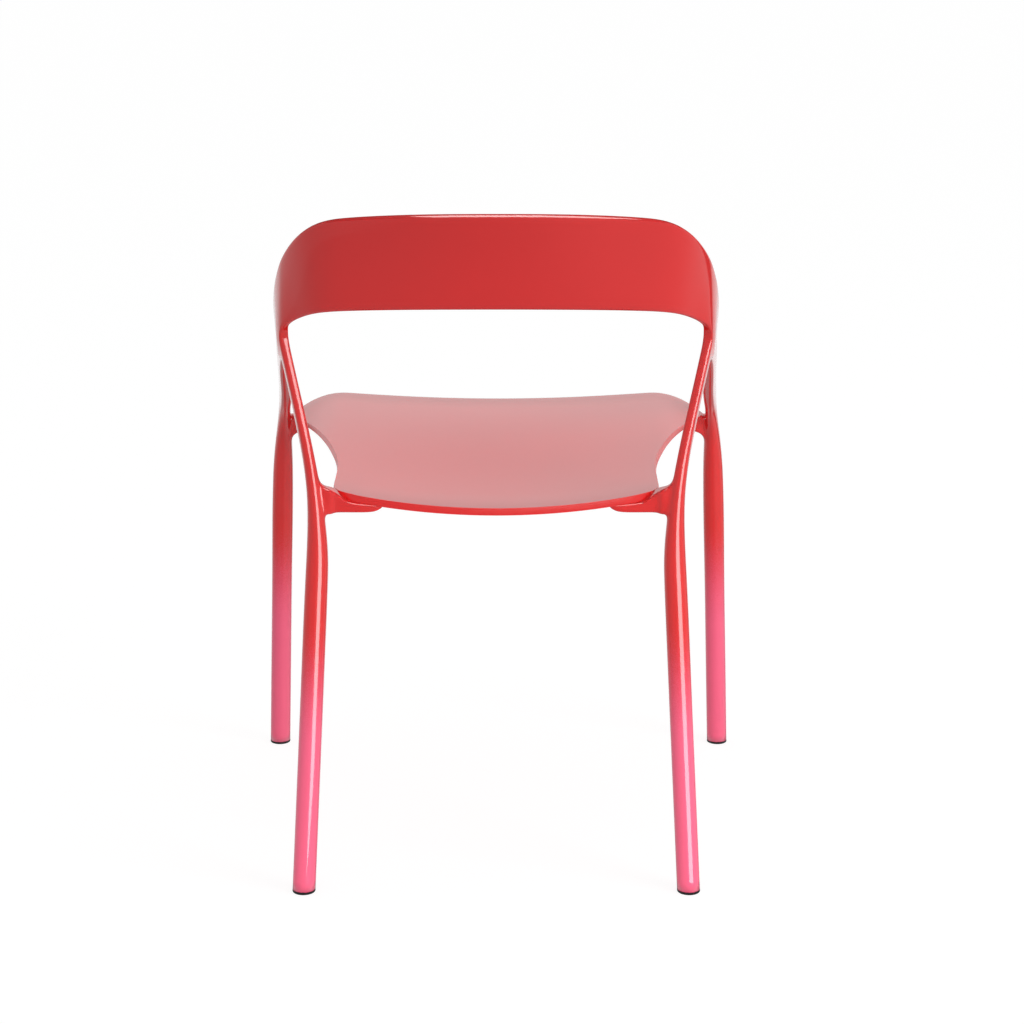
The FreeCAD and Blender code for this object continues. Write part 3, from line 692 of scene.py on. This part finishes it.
saddle_place = seat_tree.nodes.new("ShaderNodeCombineXYZ")
for axis, measure in (("X", x), ("Y", y), ("Z", z)):
    seat_tree.links.new(measure.socket, saddle_place.inputs[axis])
saddle = seat_tree.nodes.new("GeometryNodeSetPosition")
seat_tree.links.new(grid.outputs["Mesh"], saddle.inputs["Geometry"])
seat_tree.links.new(saddle_place.outputs[0], saddle.inputs["Position"])
realized = seat_tree.nodes.new("GeometryNodeRealizeInstances")
seat_tree.links.new(saddle.outputs[0], realized.inputs[0])
painted = seat_tree.nodes.new("GeometryNodeSetMaterial")
painted.inputs["Material"].default_value = seat_lacquer
seat_tree.links.new(realized.outputs[0], painted.inputs["Geometry"])
given_back = seat_tree.nodes.new("NodeGroupOutput")
seat_tree.links.new(painted.outputs[0], given_back.inputs[0])
saddle_seat = bpy.data.objects.new("saddle_seat", bpy.data.meshes.new("saddle_seat"))
bpy.context.scene.collection.objects.link(saddle_seat)
shaping = saddle_seat.modifiers.new("saddle rule", "NODES")
shaping.node_group = seat_tree
for name, value in SEAT_RULE.items():
    shaping[seat_inputs[name].identifier] = value
shell = saddle_seat.modifiers.new("shell", "SOLIDIFY")
shell.thickness = SEAT_THICKNESS
shell.offset = -1.0
rim = saddle_seat.modifiers.new("rounded rim", "BEVEL")
rim.width = SEAT_EDGE
rim.segments = 4
rim.limit_method = "ANGLE"
rim.angle_limit = math.radians(40)
finished_mesh(saddle_seat)
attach(saddle_seat, "root")
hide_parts("seat_shell")


# Glides: black nylon pads pressed into the leg ends, cut level with the floor.
def plain_finish(name, colour, roughness, metallic, grain_scale, grain_depth):
    """Finish of a small carried-over piece, with fine grain in its tone, gloss and surface."""
    finish = bpy.data.materials.new(name)
    finish.use_nodes = True
    nodes = finish.node_tree.nodes
    links = finish.node_tree.links
    shader = nodes["Principled BSDF"]
    place = nodes.new("ShaderNodeTexCoord")
    grain = nodes.new("ShaderNodeTexNoise")
    grain.inputs["Scale"].default_value = grain_scale
    grain.inputs["Detail"].default_value = 4.0
    links.new(place.outputs["Object"], grain.inputs["Vector"])
    tone = nodes.new("ShaderNodeMix")
    tone.data_type = "RGBA"
    tone.inputs["A"].default_value = tuple(0.8 * part for part in colour) + (1.0,)
    tone.inputs["B"].default_value = tuple(1.2 * part for part in colour) + (1.0,)
    links.new(grain.outputs["Fac"], tone.inputs["Factor"])
    links.new(tone.outputs["Result"], shader.inputs["Base Color"])
    gloss = nodes.new("ShaderNodeMapRange")
    gloss.inputs["To Min"].default_value = roughness - 0.06
    gloss.inputs["To Max"].default_value = roughness + 0.06
    links.new(grain.outputs["Fac"], gloss.inputs["Value"])
    links.new(gloss.outputs["Result"], shader.inputs["Roughness"])
    bump = nodes.new("ShaderNodeBump")
    bump.inputs["Strength"].default_value = grain_depth
    bump.inputs["Distance"].default_value = 0.0001
    links.new(grain.outputs["Fac"], bump.inputs["Height"])
    links.new(bump.outputs["Normal"], shader.inputs["Normal"])
    shader.inputs["Metallic"].default_value = metallic
    shader.inputs["Specular IOR Level"].default_value = 0.3
    return finish


def dress(nodes, finish):
    for node in nodes:
        carried = bpy.data.objects[node]
        carried.data.materials.clear()
        carried.data.materials.append(finish)


SIDES = ("left_front", "right_front", "left_rear", "right_rear")
glide_nylon = plain_finish("glide_nylon", (0.006, 0.006, 0.007), 0.5, 0.0, 1400.0, 0.3)
dress([f"{side}_glide" for side in SIDES], glide_nylon)

# Hidden fixings: turned aluminium dowels and pins in the joints, zinc-plated screws from below through the
# arms, and knurled brass inserts pressed into the seat.
turned_aluminium = plain_finish("turned_aluminium", (0.70, 0.70, 0.72), 0.32, 1.0, 900.0, 0.2)
dress([f"{side}_dowel" for side in SIDES], turned_aluminium)
dress([f"{side}_bracket_pin" for side in SIDES], turned_aluminium)
zinc_steel = plain_finish("zinc_steel", (0.56, 0.57, 0.60), 0.3, 1.0, 1100.0, 0.2)
dress(["seat_screws"], zinc_steel)
knurled_brass = plain_finish("knurled_brass", (0.72, 0.55, 0.24), 0.35, 1.0, 1000.0, 0.3)
dress(["seat_inserts"], knurled_brass)

# Floor: a plain white sweep. The camera sees it white with a faint shadow, and it sends soft light upwards.
FLOOR_REACH = 30.0
FLOOR_GLOW = 0.895
FLOOR_SHADOW_TONE = 0.20
FLOOR_BOUNCE_TONE = 0.65
floor_mesh = bpy.data.meshes.new("floor")
floor_corners = [(-FLOOR_REACH, -FLOOR_REACH), (FLOOR_REACH, -FLOOR_REACH), (FLOOR_REACH, FLOOR_REACH)]
floor_corners += [(-FLOOR_REACH, FLOOR_REACH)]
floor_mesh.from_pydata([(x, y, 0.0) for x, y in floor_corners], [], [(0, 1, 2, 3)])
floor = bpy.data.objects.new("floor", floor_mesh)
floor.visible_glossy = False
bpy.context.scene.collection.objects.link(floor)
floor_paint = bpy.data.materials.new("floor_paint")
floor_paint.use_nodes = True
floor_nodes = floor_paint.node_tree.nodes
floor_links = floor_paint.node_tree.links
floor_shader = floor_nodes["Principled BSDF"]
floor_shader.inputs["Roughness"].default_value = 1.0
floor_shader.inputs["Specular IOR Level"].default_value = 0.0
floor_shader.inputs["Emission Color"].default_value = (1.0, 1.0, 1.0, 1.0)
floor_sight = floor_nodes.new("ShaderNodeLightPath")
floor_tone = floor_nodes.new("ShaderNodeMix")
floor_tone.data_type = "RGBA"
floor_tone.inputs["A"].default_value = (FLOOR_BOUNCE_TONE, FLOOR_BOUNCE_TONE, FLOOR_BOUNCE_TONE, 1.0)
floor_tone.inputs["B"].default_value = (FLOOR_SHADOW_TONE, FLOOR_SHADOW_TONE, FLOOR_SHADOW_TONE, 1.0)
floor_links.new(floor_sight.outputs["Is Camera Ray"], floor_tone.inputs["Factor"])
floor_links.new(floor_tone.outputs["Result"], floor_shader.inputs["Base Color"])
floor_glow = Measure(floor_sight.outputs["Is Camera Ray"]) * FLOOR_GLOW
floor_links.new(floor_glow.socket, floor_shader.inputs["Emission Strength"])
floor_mesh.materials.append(floor_paint)

# Studio surround: white to the camera. In the gloss it is pale all round, lighter at the right, at the left
# wall and high up in front of the chair, and dark at the ceiling, in a gap at the front right and on the
# shaded floor before the chair.
SURROUND_LIGHT = 0.50
REAR_TONE = 0.70
RIGHT_GAIN = 0.25
WALL_GAIN = 0.12
GAP_TONE = 0.12
FRONT_TONE = 0.75
FRONT_FLOOR_TONE = 0.95
FRONT_HIGH_TONE = 1.7
SHADE_TONE = 0.35
CEILING_TONE = 0.15
world = bpy.data.worlds.new("studio surround")
bpy.context.scene.world = world
world.use_nodes = True
world_nodes = world.node_tree.nodes
world_links = world.node_tree.links
backdrop = world_nodes["Background"]
backdrop.inputs["Color"].default_value = (1.0, 1.0, 1.0, 1.0)
looking = world_nodes.new("ShaderNodeTexCoord")
towards = world_nodes.new("ShaderNodeSeparateXYZ")
world_links.new(looking.outputs["Generated"], towards.inputs[0])
sideways = Measure(towards.outputs["X"])
rearwards = Measure(towards.outputs["Y"])
upwards = Measure(towards.outputs["Z"])
rightwards = sideways * -1.0
forwards = rearwards * -1.0
downwards = upwards * -1.0


def rising(measure, start, end):
    return ((measure - start) / (end - start)).eased()


right_side = rising(rightwards, -0.1, 0.6)
left_wall = rising(sideways, 0.4, 0.6) * rising(upwards, -0.29, -0.26)
gloss_tone = right_side * RIGHT_GAIN + left_wall * WALL_GAIN + REAR_TONE
right_gap = rising(rightwards, 0.35, 0.45) * rising(forwards, 0.42, 0.52)
gloss_tone = gloss_tone + (gloss_tone * -1.0 + GAP_TONE) * right_gap
front_tone = rising(downwards, -0.02, 0.08) * (FRONT_FLOOR_TONE - FRONT_TONE) + FRONT_TONE
front_tone = front_tone + rising(upwards, 0.16, 0.40) * (FRONT_HIGH_TONE - FRONT_TONE)
front_tone = front_tone + (front_tone * -1.0 + SHADE_TONE) * rising(downwards, 0.32, 0.46)
gloss_tone = gloss_tone + (front_tone - gloss_tone) * rising(forwards, 0.64, 0.76)
gloss_tone = gloss_tone + (gloss_tone * -1.0 + CEILING_TONE) * rising(upwards, 0.66, 0.78)
sight = world_nodes.new("ShaderNodeLightPath")
in_gloss = Measure(sight.outputs["Is Glossy Ray"])
through_glass = Measure(sight.outputs["Is Transmission Ray"])
seen_directly = Measure(sight.outputs["Is Camera Ray"]).above(through_glass)
surround = (gloss_tone - SURROUND_LIGHT) * in_gloss + SURROUND_LIGHT
surround = surround + (surround * -1.0 + 1.0) * seen_directly
world_links.new(surround.socket, backdrop.inputs["Strength"])


# Studio lamps: a soft key from the camera's right, a low fill on the chair, and two boxes that only show in
# the gloss, a tall one for the long highlights on the legs and one overhead for the band's upper edge.
def lamp(name, place, target, width, height, power, spread, shows_in_gloss, lights_surfaces):
    light = bpy.data.lights.new(name, "AREA")
    light.shape = "RECTANGLE"
    light.size = width
    light.size_y = height
    light.energy = power
    light.spread = math.radians(spread)
    piece = bpy.data.objects.new(name, light)
    piece.location = place
    aim = np.array(target) - np.array(place)
    level_aim = math.hypot(aim[0], aim[1])
    piece.rotation_euler = (math.atan2(level_aim, -aim[2]), 0.0, math.atan2(-aim[0], aim[1]))
    piece.visible_camera = False
    piece.visible_glossy = shows_in_gloss
    piece.visible_diffuse = lights_surfaces
    bpy.context.scene.collection.objects.link(piece)
    return piece


lamp("key", (-2.6, 1.7, 1.3), (0.0, 0.0, 0.4), 1.4, 1.4, 33.0, 180.0, False, True)
low_fill = lamp("low_fill", (-0.5, 2.6, 0.45), (0.0, 0.1, -0.20), 1.2, 0.4, 3.2, 50.0, False, True)
tall_box = lamp("tall_box", (-1.2, 2.02, 1.0), (0.0, 0.17, 1.0), 1.45, 2.4, 90.0, 180.0, True, False)
lamp("overhead_box", (-0.15, 0.45, 2.2), (-0.15, 0.45, 0.7), 1.20, 1.20, 44.0, 180.0, True, False)

# The tall box is flagged off from all but the legs, the low fill from the floor, so that the chair's shadow
# stays, and a dark flag in front keeps the surround out of the band's upper edge.
leg_lights = bpy.data.collections.new("lit by the leg lamps")
for piece in legs.values():
    leg_lights.objects.link(piece)
tall_box.light_linking.receiver_collection = leg_lights
off_the_floor = bpy.data.collections.new("lit by the low fill")
for piece in [back_band, saddle_seat] + list(legs.values()) + list(arms.values()):
    off_the_floor.objects.link(piece)
low_fill.light_linking.receiver_collection = off_the_floor
FLAG_DISTANCE = 0.6
FLAG_BOTTOM = 0.95
FLAG_TOP = 1.7
FLAG_HALF_WIDTH = 1.6
flag_mesh = bpy.data.meshes.new("flag")
flag_corners = [(-FLAG_HALF_WIDTH, FLAG_BOTTOM), (FLAG_HALF_WIDTH, FLAG_BOTTOM)]
flag_corners += [(FLAG_HALF_WIDTH, FLAG_TOP), (-FLAG_HALF_WIDTH, FLAG_TOP)]
flag_mesh.from_pydata([(x, -FLAG_DISTANCE, z) for x, z in flag_corners], [], [(0, 1, 2, 3)])
flag = bpy.data.objects.new("flag", flag_mesh)
flag_mesh.materials.append(plain_finish("flag_cloth", (0.01, 0.01, 0.01), 0.9, 0.0, 800.0, 0.2))
for sight in ("camera", "diffuse", "transmission", "shadow", "volume_scatter"):
    setattr(flag, f"visible_{sight}", False)
bpy.context.scene.collection.objects.link(flag)

# Camera: a long lens behind the chair, a little above the band and looking down at the seat.
CAMERA_PLACE = (-0.0171, 2.671, 1.0687)
CAMERA_PITCH = 14.78
lens = bpy.data.cameras.new("camera")
lens.lens = 85.0
lens.sensor_width = 36.0
camera = bpy.data.objects.new("camera", lens)
camera.location = CAMERA_PLACE
camera.rotation_euler = (math.radians(90 - CAMERA_PITCH), 0.0, math.radians(180))
bpy.context.scene.collection.objects.link(camera)
bpy.context.scene.camera = camera
bpy.context.scene.view_settings.view_transform = "Standard"
